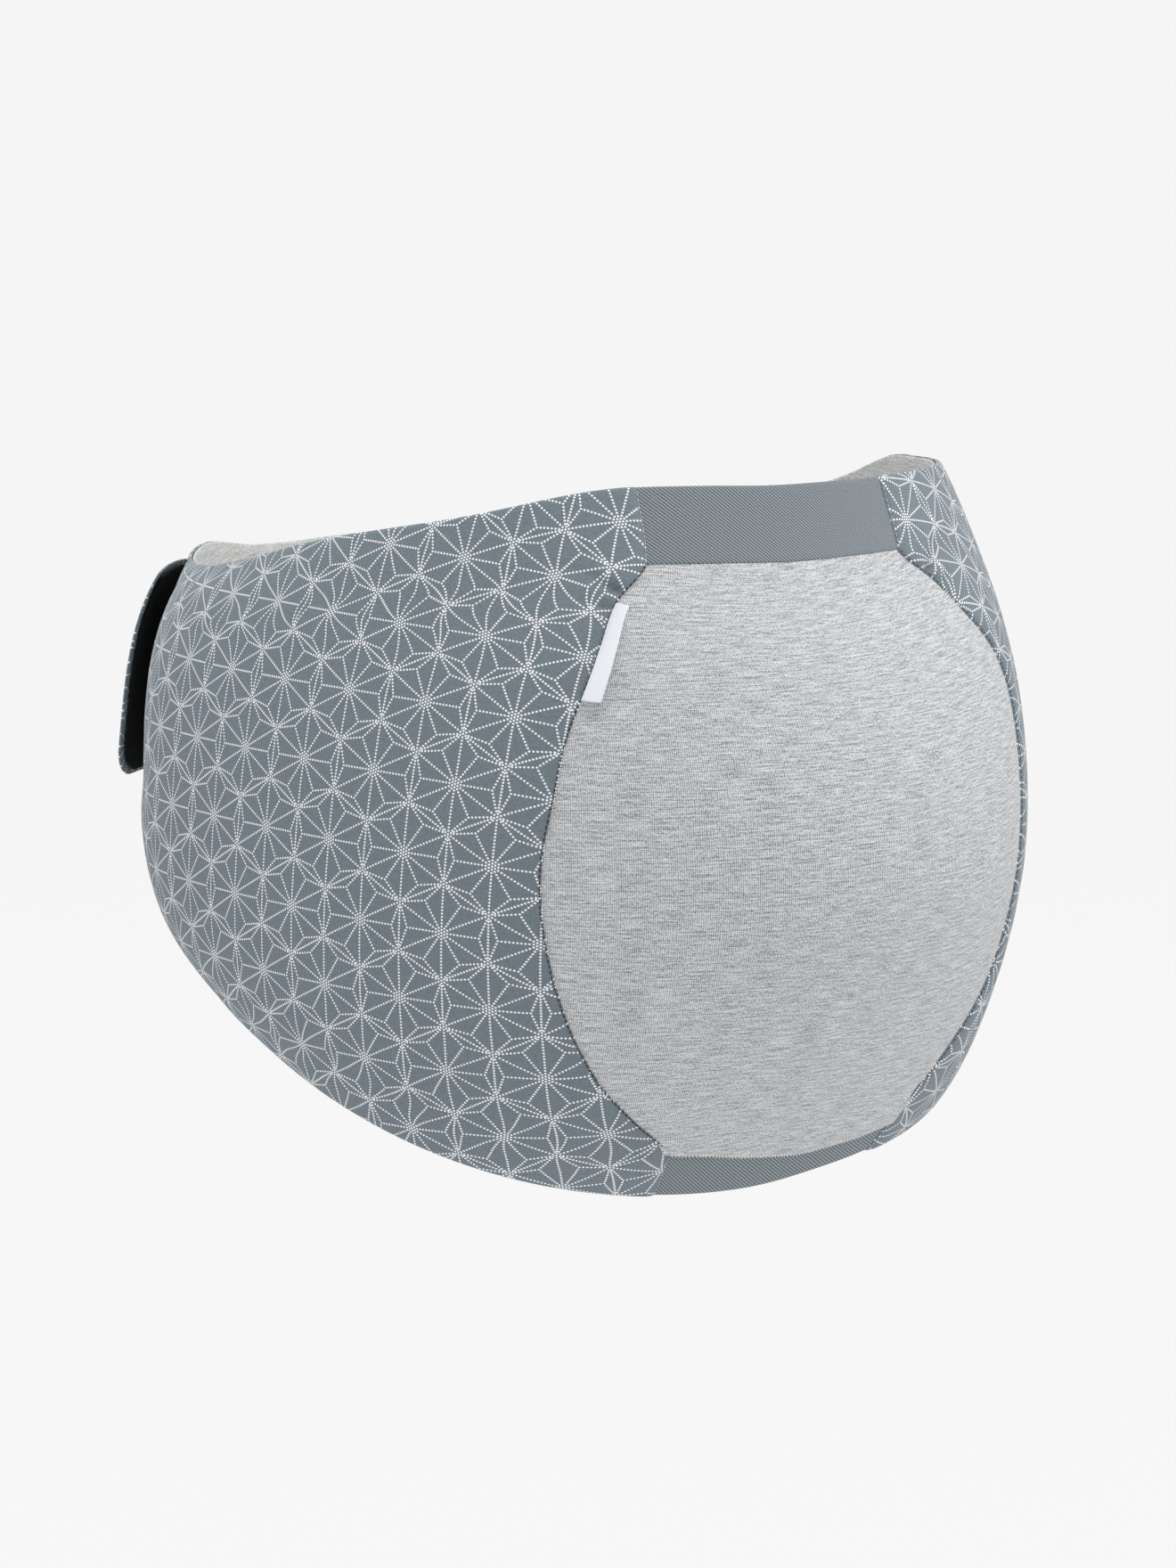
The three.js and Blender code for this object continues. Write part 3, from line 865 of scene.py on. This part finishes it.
def cover_swell(angle, share):
    """The padding as the closing tab leaves it: pressed in under the tab, by a depth that rises along the
    tab, falls again past its free end and starts at its lower edge."""
    turn = angle % 360
    pressed = ramp(turn, *PRESS_GROWS) * (1 - ramp(turn, *PRESS_FADES))
    pressed = pressed * ramp(height_at(angle, share), *PRESS_FOOT)
    swelling = wing_swell(angle, share)
    return swelling - np.minimum(swelling, TAB_PRESS * pressed)


def wing_angle(side, u, share, margin=0):
    """u runs towards the wearer's left on both sides, from one end of the wing to the other; a margin keeps
    the front end behind the seam."""
    along, first = u if side > 0 else 1 - u, seam(share, side) + margin
    return side * (first + (WING_END - first) * along)


def wing_face(side):
    """The cover's outer face, without slack and creases."""
    def face(u, v):
        angle = wing_angle(side, u, v)
        return on_belt(angle, v, WING_INSIDE + COVER_THICK + cover_swell(angle, v))
    return face


# %% Swelling cover
SLACK, SLACK_FADE = 0.0022, 3
SWELL_FRAMES = 20
FILLING = {
    "vertex_group_mass": "sewn", "quality": 5, "tension_stiffness": 25, "compression_stiffness": 25,
    "shear_stiffness": 12, "bending_stiffness": 6, "use_pressure": True, "uniform_pressure_force": 4.0,
}
STILL = 1e-9


def swell(piece, pinned, room):
    """Cloth with pressure inside: the pinned points stay where they are sewn, and no point moves further
    than its own room. Gives the largest move and the median one."""
    points = np.zeros(len(piece.data.vertices) * 3, np.float32)
    piece.data.vertices.foreach_get("co", points)
    start = points.reshape(-1, 3).astype(float)
    piece.vertex_groups.new(name="sewn").add(np.flatnonzero(pinned).tolist(), 1.0, "REPLACE")
    cloth = piece.modifiers.new("filling", "CLOTH")
    for label, value in FILLING.items():
        setattr(cloth.settings, label, value)
    cloth.settings.effector_weights.gravity = 0
    cloth.collision_settings.use_collision = False
    cloth.point_cache.frame_start, cloth.point_cache.frame_end = 1, SWELL_FRAMES
    for frame_number in range(1, SWELL_FRAMES + 1):
        bpy.context.scene.frame_set(frame_number)
    filled = piece.evaluated_get(bpy.context.evaluated_depsgraph_get())
    filled.data.vertices.foreach_get("co", points)
    move = points.reshape(-1, 3) - start
    move *= np.minimum(1, room[:, None] / np.maximum(lengths(move), STILL))
    piece.modifiers.remove(cloth)
    piece.vertex_groups.clear()
    piece.data.vertices.foreach_set("co", (start + move).astype(np.float32).ravel())
    piece.data.update()
    return float(lengths(move).max()), float(np.median(lengths(move)[~pinned]))


# %% Creases and folds
PUCKERS = [
    # share of the height, depth, half width along the seam, reach into the wing, climb
    (0.869, -0.8, 1.3, 14, 0.35), (0.860, 2.2, 1.2, 20, 0.35), (0.851, -1.2, 1.2, 14, 0.3),
    (0.842, 1.8, 1.1, 10, 0.25), (0.79, 0.35, 5, 10, 0), (0.66, 0.3, 6, 9, 0), (0.5, 0.3, 7, 10, 0),
    (0.33, 0.35, 6, 10, 0), (0.2, 0.4, 5, 9, 0), (0.1, 0.5, 4, 8, 0),
]
SEAM_RADIUS, SEAM_HEIGHT, PUCKER_START = 0.17, 0.28, (0.5 * MM, 4 * MM)
CREASED, CREASED_ROWS, ROW_GAP = (0.83, 0.905), 28, 0.004
# Painted shade in deep dents: how dark the print gets at most, and the depth at which that is reached.
FOLD_SHADE, FOLD_DEPTH = 0.6, 1.3 * MM
WING_COLUMNS, WING_ROWS = 104, 68


def wing_rows():
    """Rows from hem to rim: closer at both edges, as half a turn of a cosine, and closest at the creases."""
    share = 0.5 - 0.5 * np.cos(np.pi * np.linspace(0, 1, WING_ROWS))
    plain = (share < CREASED[0] - ROW_GAP) | (share > CREASED[1] + ROW_GAP)
    return np.sort(np.concatenate([share[plain], np.linspace(*CREASED, CREASED_ROWS)]))


def puckers(angle, share):
    """Small dents where the seam draws the cover in: each is a bell along the seam that fades into the wing,
    and its middle climbs with the distance from the seam."""
    into = np.radians(np.abs(angle) - seam(share, angle)) * SEAM_RADIUS
    dent = 0 * into
    for at, depth, width, reach, climb in PUCKERS:
        bell = np.exp(-(((share - at) * SEAM_HEIGHT - climb * into) / (width * MM)) ** 2)
        dent = dent + depth * MM * bell * np.exp(-into / (reach * MM)) * ramp(into, *PUCKER_START)
    return dent


# %% Wings
LEFT_PRINT_SHIFT = (-0.05, 0.235)
PRINT_ALONG = np.array([-6.069, 43.729, 1.556, -46.645])
PRINT_UP = np.array([-3.106, -3.749, 28.089, 6.444])
DRAWN_OUT = (0.06, 0.215)
WING_LENGTH, WING_HEIGHT = 0.42, 0.26
SEAM_ROLL, SEAM_DIP = 5 * MM, 0.6 * MM


def under_print(flat, side, shift):
    """Where each place of the flat cloth lies under the print, in metres. The cover is drawn out towards its
    front seam, so stars are further apart there: each coordinate, in star spacings, is a constant, a share
    of the length along, a share of the height and a share of the length squared, which goes on straight
    behind and ahead of the drawn part."""
    along, rise = -side * flat[..., 0], flat[..., 1]
    held = np.clip(along, *DRAWN_OUT)
    terms = np.stack([1 + 0 * along, along, rise, held * (2 * along - held)], -1)
    stars = np.stack([-side * (terms @ PRINT_ALONG), terms @ PRINT_UP], -1)
    return (stars + np.array(shift)) * STAR_SPACING


def padded_wing(name, side, shift):
    """A wing: a cover whose outer face swells over its inner face. The two close together at rim and hem, and
    both dip onto the jersey at the seam. Deep dents are noted as folds, by the square of their depth, and
    the print is darkened there as painted shade."""
    u, share = edged_steps(WING_COLUMNS, WING_LENGTH, SEAM_ROLL), wing_rows()
    angle = wing_angle(side, u[:, None], share[None, :])
    roll = rolled(u, WING_LENGTH, SEAM_ROLL)[:, None]
    edge = roll * rolled(share, WING_HEIGHT, COVER_THICK)[None, :]
    inside = WING_INSIDE - SEAM_DIP * (1 - roll)
    pad, dent = cover_swell(angle, share), puckers(angle, share)
    slack = SLACK * np.clip(pad / (SLACK_FADE * SLACK), 0, 1)
    outer = on_belt(angle, share, inside + COVER_THICK * edge + pad - slack - dent)
    flat = lay_flat(wing_face(side), u, share)
    piece = closed_sheet(name, outer, on_belt(angle, share, inside), under_print(flat, side, shift))
    # Painted shade: the print darkens by the square of a dent's depth, fully from FOLD_DEPTH on.
    fold = FOLD_SHADE * np.clip(dent / FOLD_DEPTH, 0, 1) ** 2
    piece.data.attributes.new("fold", "FLOAT", "POINT").data.foreach_set(
        "value", np.append(fold, 0 * fold).astype(np.float32))
    piece.data.materials.append(PRINT)
    room = np.append(slack, 0 * slack)
    print(name, "swelled by, m:", swell(piece, room < SLACK / SLACK_FADE, room))
    rounder = piece.modifiers.new("rounder", "SUBSURF")
    rounder.levels = rounder.render_levels = 1
    return piece, flat


right_wing, right_flat = padded_wing("right_wing_cover", -1, (0.0, 0.0))
left_wing, left_flat = padded_wing("left_wing_cover", 1, LEFT_PRINT_SHIFT)
print("wings, flat:", flat_size(right_flat), flat_size(left_flat))

# %% [markdown]
# ## The lining
# The inside of each wing is faced with a soft light jersey, sewn to the cover all round. It shows at the
# rim, where the far side of the belt is seen from above. It is a thin sheet on the torso itself, and it
# starts just behind the seam, where the front's margin ends.

# %% Linings
LINING_START, LINING_COUNTS = 1.6, (70, 50)


def wing_lining(name, side):
    """A sheet between the torso and the wing: offset 0 inside and the lining's thickness outside."""
    def point(u, share, face):
        angle = wing_angle(side, u, share, LINING_START)
        return on_belt(angle, share, LINING_THICK / 2 * (1 + face))

    return rolled_sheet(name, point, lambda u, v: point(u, v, -1), LINING_COUNTS,
                        (WING_LENGTH, WING_HEIGHT), LINING_THICK, LINING)


right_lining, right_lining_flat = wing_lining("right_lining_jersey", -1)
left_lining, left_lining_flat = wing_lining("left_lining_jersey", 1)
print("linings, flat:", flat_size(right_lining_flat), flat_size(left_lining_flat))

# %% [markdown]
# ## The closing tab and its hook tape
# At the back, a printed tab on the left wing's end crosses to the right wing and holds on it with black hook
# tape. Its free end stands off a little, so the tape shows as a dark line from the side. Both are layers at
# a given height over the wing, between the tab's edges.

# %% Tab layers
TAB_THICK, HOOK_THICK, TAB_GAP = 1.2 * MM, 1.4 * MM, 0.7 * MM
TAB_ROOT, TAB_NARROW, TAB_TIP = WING_END + 0.2, 200, 238
TAB_BOTTOM, TAB_BELOW_RIM, TAB_CORNER = 1 * MM, 8 * MM, 14 * MM
TIP_LIFT_SPAN, TIP_LIFT_TOP, TIP_LIFT_BOTTOM = 26, 0.5 * MM, 7.5 * MM
HOOK_ROOT, HOOK_MARGIN = 187, 2 * MM
TAB_SIZE = (0.16, 0.09)


def tab_bottom(angle):
    return hem(angle) + (TAB_BOTTOM - hem(angle)) * ramp(angle, TAB_ROOT, TAB_NARROW)


def tab_top(angle):
    return rim(angle) - TAB_BELOW_RIM * ramp(angle, TAB_ROOT, TAB_NARROW)


def tab_offset(angle):
    """Height of the tab's inner face over the wing: level with the left wing's inside at the root, then over
    the right wing and the hook tape."""
    on_wing, on_hooks = ramp(angle, TAB_ROOT, 360 - WING_END), ramp(angle, TAB_ROOT, HOOK_ROOT)
    return (TAB_GAP + COVER_THICK) * on_wing - COVER_THICK + on_hooks * (HOOK_THICK + TAB_GAP)


def closure_layer(name, root, margin, offset, thick, counts, finish):
    """A layer of the closure, that thick, from its root to the tip, at an offset by angle over the wing. Its
    free end's lower corner is cut by a circle, and the end is lifted as the square of the distance from
    where the lift starts, more at its foot than at its top."""
    tallest = float(tab_top(TAB_TIP)) - TAB_BOTTOM - 2 * margin
    radius = TAB_CORNER - margin
    reach = np.linalg.norm(torso(TAB_TIP, TAB_BOTTOM))

    def point(u, v, face):
        left = np.maximum(0, radius - v * tallest)
        cut = np.degrees((radius - np.sqrt(radius ** 2 - left ** 2)) / reach)
        angle = root + u * (TAB_TIP - math.degrees(margin / TORSO_HALF[0]) - cut - root)
        bottom, top = tab_bottom(angle), tab_top(angle)
        z = bottom + margin + v * (top - bottom - 2 * margin)
        share = np.clip((z - hem(angle)) / (rim(angle) - hem(angle)), 0, 1)
        near = np.clip((angle - TAB_TIP + TIP_LIFT_SPAN) / TIP_LIFT_SPAN, 0, 1)
        highest = TIP_LIFT_BOTTOM + (TIP_LIFT_TOP - TIP_LIFT_BOTTOM) * (z - bottom) / (top - bottom)
        under = WING_INSIDE + COVER_THICK + wing_swell(angle, share) + near ** 2 * highest
        return on_torso(angle, z, under + offset(angle) + thick / 2 * (1 + face))

    return rolled_sheet(name, point, lambda u, v: point(u, v, 1), counts, TAB_SIZE, thick / 2, finish)


HOOK_TAPE = woven_finish("black_hook_tape", (5, 5, 6), (16, 16, 18), 0.0, 0.3 * MM, 0.7, Rib=0.0008, Lean=0.0)
closure_tab, tab_flat = closure_layer(
    "closure_tab_cover", TAB_ROOT, 0, tab_offset, TAB_THICK, (64, 40), PRINT)
hook_patch, hook_flat = closure_layer(
    "hook_patch_tape", HOOK_ROOT, HOOK_MARGIN, lambda angle: TAB_GAP, HOOK_THICK, (50, 32), HOOK_TAPE)
print("tab and tape, flat:", flat_size(tab_flat), flat_size(hook_flat))

# %% [markdown]
# ## The label
# A small white woven ribbon, blank here, is caught in the right front seam. It stands up from the seam and
# leans over the panel, more at its top than at its foot, with a slight curl across its width.

# %% Label
LABEL_WIDTH, LABEL_THICK, LABEL_SEAT = 10 * MM, 0.8 * MM, -0.2 * MM
LABEL_SHARE = (0.730, 0.850)
LABEL_LEAN = (35, 70)
LABEL_CURL = 0.6 * MM
LABEL_SIZE, LABEL_COUNTS = (LABEL_WIDTH, 0.034), (14, 30)


def label_point(u, v, face):
    """From the seam, width times u in a level direction that leans away from the cloth by an angle that grows
    with v, plus half the thickness on either face, plus a curl that bows the middle of the width."""
    share = LABEL_SHARE[0] + v * (LABEL_SHARE[1] - LABEL_SHARE[0])
    lean = np.radians(LABEL_LEAN[0] + v * (LABEL_LEAN[1] - LABEL_LEAN[0]))
    angle = -seam(share, -1) + math.degrees(LABEL_SEAT / TORSO_HALF[0])
    around, out = directions(angle, height_at(angle, share))
    ahead = unit(out * LEVEL)
    base = on_belt(angle, share, WING_INSIDE + COVER_THICK / 2)
    side, rise = np.cos(lean)[..., None], np.sin(lean)[..., None]
    along = (u * LABEL_WIDTH)[..., None] * (around * side + ahead * rise)
    bow = LABEL_CURL * np.sin(np.pi * u)[..., None] + (face * LABEL_THICK / 2)[..., None]
    return base + along + bow * (ahead * side - around * rise)


RIBBON = woven_finish(
    "white_ribbon", (222, 226, 233), (248, 250, 253), 0.05, 0.1 * MM, 0.5, Rib=0.0005, Lean=0.0)
side_label, label_flat = rolled_sheet(
    "side_label_ribbon", label_point, lambda u, v: label_point(u, v, 0 * u),
    LABEL_COUNTS, LABEL_SIZE, LABEL_THICK / 2, RIBBON)
print("label, flat:", flat_size(label_flat))

# %% [markdown]
# ## Stitches
# Dark thread runs along the right wing's edge where it is sewn to the jersey, and slate thread along the
# left wing's. Light grey thread shows along the wings' edges over the bands, and white thread over the
# jersey's cut edge. A stitch is a short bowed tube, made hundreds of times at once by giving the arrays one
# more dimension.

# %% Stitch helpers
STITCH_RINGS, STITCH_SIDES = 5, 6
STITCH_LIFT, STITCH_END = 0.1 * MM, 0.35
THREAD_TWIST, THREAD_SHADE, THREAD_DEPTH, THREAD_STRENGTH = 0.0003, 0.6, 0.1 * MM, 0.4


def stitch_row(name, starts, ends, radius, finish):
    """Tubes from each start to its end: the middle is lifted off the cloth as half a sine, and the radius
    runs from about a third at the ends to full in the middle."""
    bow = np.sin(np.pi * np.linspace(0, 1, STITCH_RINGS))
    outs = unit(starts * LEVEL)
    way = unit(ends - starts)
    aside = unit(np.cross(way, outs))
    above = np.cross(aside, way)
    t = np.linspace(0, 1, STITCH_RINGS)[None, :, None]
    middle = starts[:, None] + t * (ends - starts)[:, None] + STITCH_LIFT * bow[:, None] * outs[:, None]
    turn = np.linspace(0, 2 * np.pi, STITCH_SIDES, endpoint=False)[None, :, None]
    ring = np.cos(turn) * aside[:, None] + np.sin(turn) * above[:, None]
    size = radius * (STITCH_END + (1 - STITCH_END) * bow)
    points = middle[:, :, None] + size[None, :, None, None] * ring[:, None]
    index = np.arange(points.size // 3).reshape(points.shape[:3])
    after = np.roll(index, -1, axis=2)
    quads = np.stack([index[:, :-1], index[:, 1:], after[:, 1:], after[:, :-1]], -1).reshape(-1, 4)
    caps = index[:, 0].tolist() + index[:, -1, ::-1].tolist()
    piece = new_mesh(name, points.reshape(-1, 3), quads.tolist() + caps)
    piece.data.materials.append(finish)
    return piece


def evenly(path, pitch):
    """Points along a path at even lengths of about one pitch, read off the path's running length."""
    run = np.concatenate([[0], np.cumsum(np.linalg.norm(np.diff(path, axis=0), axis=1))])
    at = np.linspace(0, run[-1], int(run[-1] / pitch) + 1)
    return np.stack([np.interp(at, run, path[:, k]) for k in range(3)], 1)


def thread_finish(name, tone):
    """Twisted thread: a slanting twist in Object coordinates, with painted shade in its grooves and a bump.
    """
    finish, shader = new_material(name)
    place = Term(finish.node_tree, finish.node_tree.nodes.new("ShaderNodeTexCoord").outputs["Object"])
    twist = spread(place_group(TWILL, place, Rib=THREAD_TWIST), 0.0, 1.0)
    base = blend(twist, (*(THREAD_SHADE * x for x in tone[:3]), 1), tone)
    wire_up(shader, base, twist, twist, THREAD_DEPTH, THREAD_STRENGTH)
    return finish


DARK_THREAD = thread_finish("dark_thread", colour(52, 58, 63))
SLATE_THREAD = thread_finish("slate_thread", colour(84, 92, 98))
GREY_THREAD = thread_finish("grey_thread", colour(205, 212, 217))
WHITE_THREAD = thread_finish("white_thread", colour(240, 241, 242))

# %% Stitches
SEAM_PITCH, SEAM_STITCH, SEAM_POINTS = 2.5 * MM, 0.72, 400
SEAM_INSET, SEAM_SEAT = 0.18, 0.35
LOCK_PITCH, LOCK_BITE, LOCK_HANG, LOCK_SINK = 1.6 * MM, 0.007, 0.003, 0.8 * MM
LOCK_RADIUS, LOCK_CLEAR, LOCK_POINTS, LOCK_ENDS = 0.3 * MM, 0.05 * MM, 600, (0.03, 0.97)
FOOT, HEAD = 0.005, 0.995
SEAM_ROWS = [
    # name, side, shares of the height from and to, thread, radius
    ("right_seam_thread", -1, LOWER_BAND_TOP, UPPER_BAND_BOTTOM, DARK_THREAD, 0.3),
    ("left_seam_thread", 1, LOWER_BAND_TOP, UPPER_BAND_BOTTOM, SLATE_THREAD, 0.16),
    ("right_top_thread", -1, UPPER_BAND_BOTTOM, HEAD, GREY_THREAD, 0.25),
    ("left_top_thread", 1, UPPER_BAND_BOTTOM, HEAD, GREY_THREAD, 0.25),
    ("right_foot_thread", -1, FOOT, LOWER_BAND_TOP, GREY_THREAD, 0.25),
    ("left_foot_thread", 1, FOOT, LOWER_BAND_TOP, GREY_THREAD, 0.25),
]


def seam_stitches(name, side, low, high, finish, radius):
    """A row along a wing's front edge, between two shares of the height, just inside the edge."""
    share = np.linspace(low, high, SEAM_POINTS)
    angle = side * (seam(share, side) + SEAM_INSET)
    offset = WING_INSIDE + COVER_THICK * SEAM_SEAT + wing_swell(angle, share)
    at = evenly(on_belt(angle, share, offset), SEAM_PITCH)
    return stitch_row(name, at[:-1], at[:-1] + SEAM_STITCH * np.diff(at, axis=0), radius * MM, finish)


def edge_stitches(name, finish):
    """An overlock along the jersey's cut edge: each stitch runs from just under the edge up onto the jersey
    and half a pitch along."""
    u = np.linspace(*LOCK_ENDS, LOCK_POINTS)

    def row(above, sink):
        share = jersey_edge(u) + above
        angle = front_angle(u, share)
        return evenly(on_belt(angle, share, jersey_outside(angle, share) + LOCK_CLEAR - sink), LOCK_PITCH)

    at, into = row(-LOCK_HANG, LOCK_SINK), row(LOCK_BITE, 0)
    count = min(len(at), len(into)) - 1
    return stitch_row(name, at[:count], (into[:count] + into[1:count + 1]) / 2, LOCK_RADIUS, finish)


stitch_pieces = [seam_stitches(*row) for row in SEAM_ROWS]
stitch_pieces.append(edge_stitches("jersey_edge_thread", WHITE_THREAD))
print("stitches:", [(p.name, len(p.data.polygons)) for p in stitch_pieces])

# %% [markdown]
# ## What each piece stands for
# Every piece rides on the frame's one body and replaces its plain solid. The tables list the slot in the
# record that each piece's finish comes from, and each sheet's flat cloth, how it is held and what it rests
# on;
# the sheets' flat sizes are worked out and not used further.

# %% Riding, slots and soft pieces
PIECES = [
    # piece, CAD node, slot
    (belly_panel, "belly_panel", "jersey"), (upper_band, "upper_band", "elastic"),
    (lower_band, "lower_band", "elastic"), (right_wing, "right_wing", "print"),
    (left_wing, "left_wing", "print"), (right_lining, "right_lining", "lining"),
    (left_lining, "left_lining", "lining"), (closure_tab, "closure_tab", "print"),
    (hook_patch, "hook_patch", "hook_tape"), (side_label, "side_label", "label"),
]
for piece, node, slot in PIECES:
    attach(piece, "root")
    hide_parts(node)
for piece in stitch_pieces:
    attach(piece, "root")

SHEETS = [
    # piece, flat cloth, how it is held, what it rests on
    (belly_panel, belly_flat, "stretched", []), (upper_band, upper_flat, "stretched", []),
    (lower_band, lower_flat, "stretched", []), (right_lining, right_lining_flat, "laid", [right_wing]),
    (left_lining, left_lining_flat, "laid", [left_wing]), (closure_tab, tab_flat, "laid", [hook_patch]),
    (hook_patch, hook_flat, "laid", [right_wing]), (side_label, label_flat, "hung", [right_wing]),
]
for piece, flat, held, under in SHEETS:
    size, area = flat_size(flat)
print("pieces:", len(PIECES) + len(stitch_pieces))
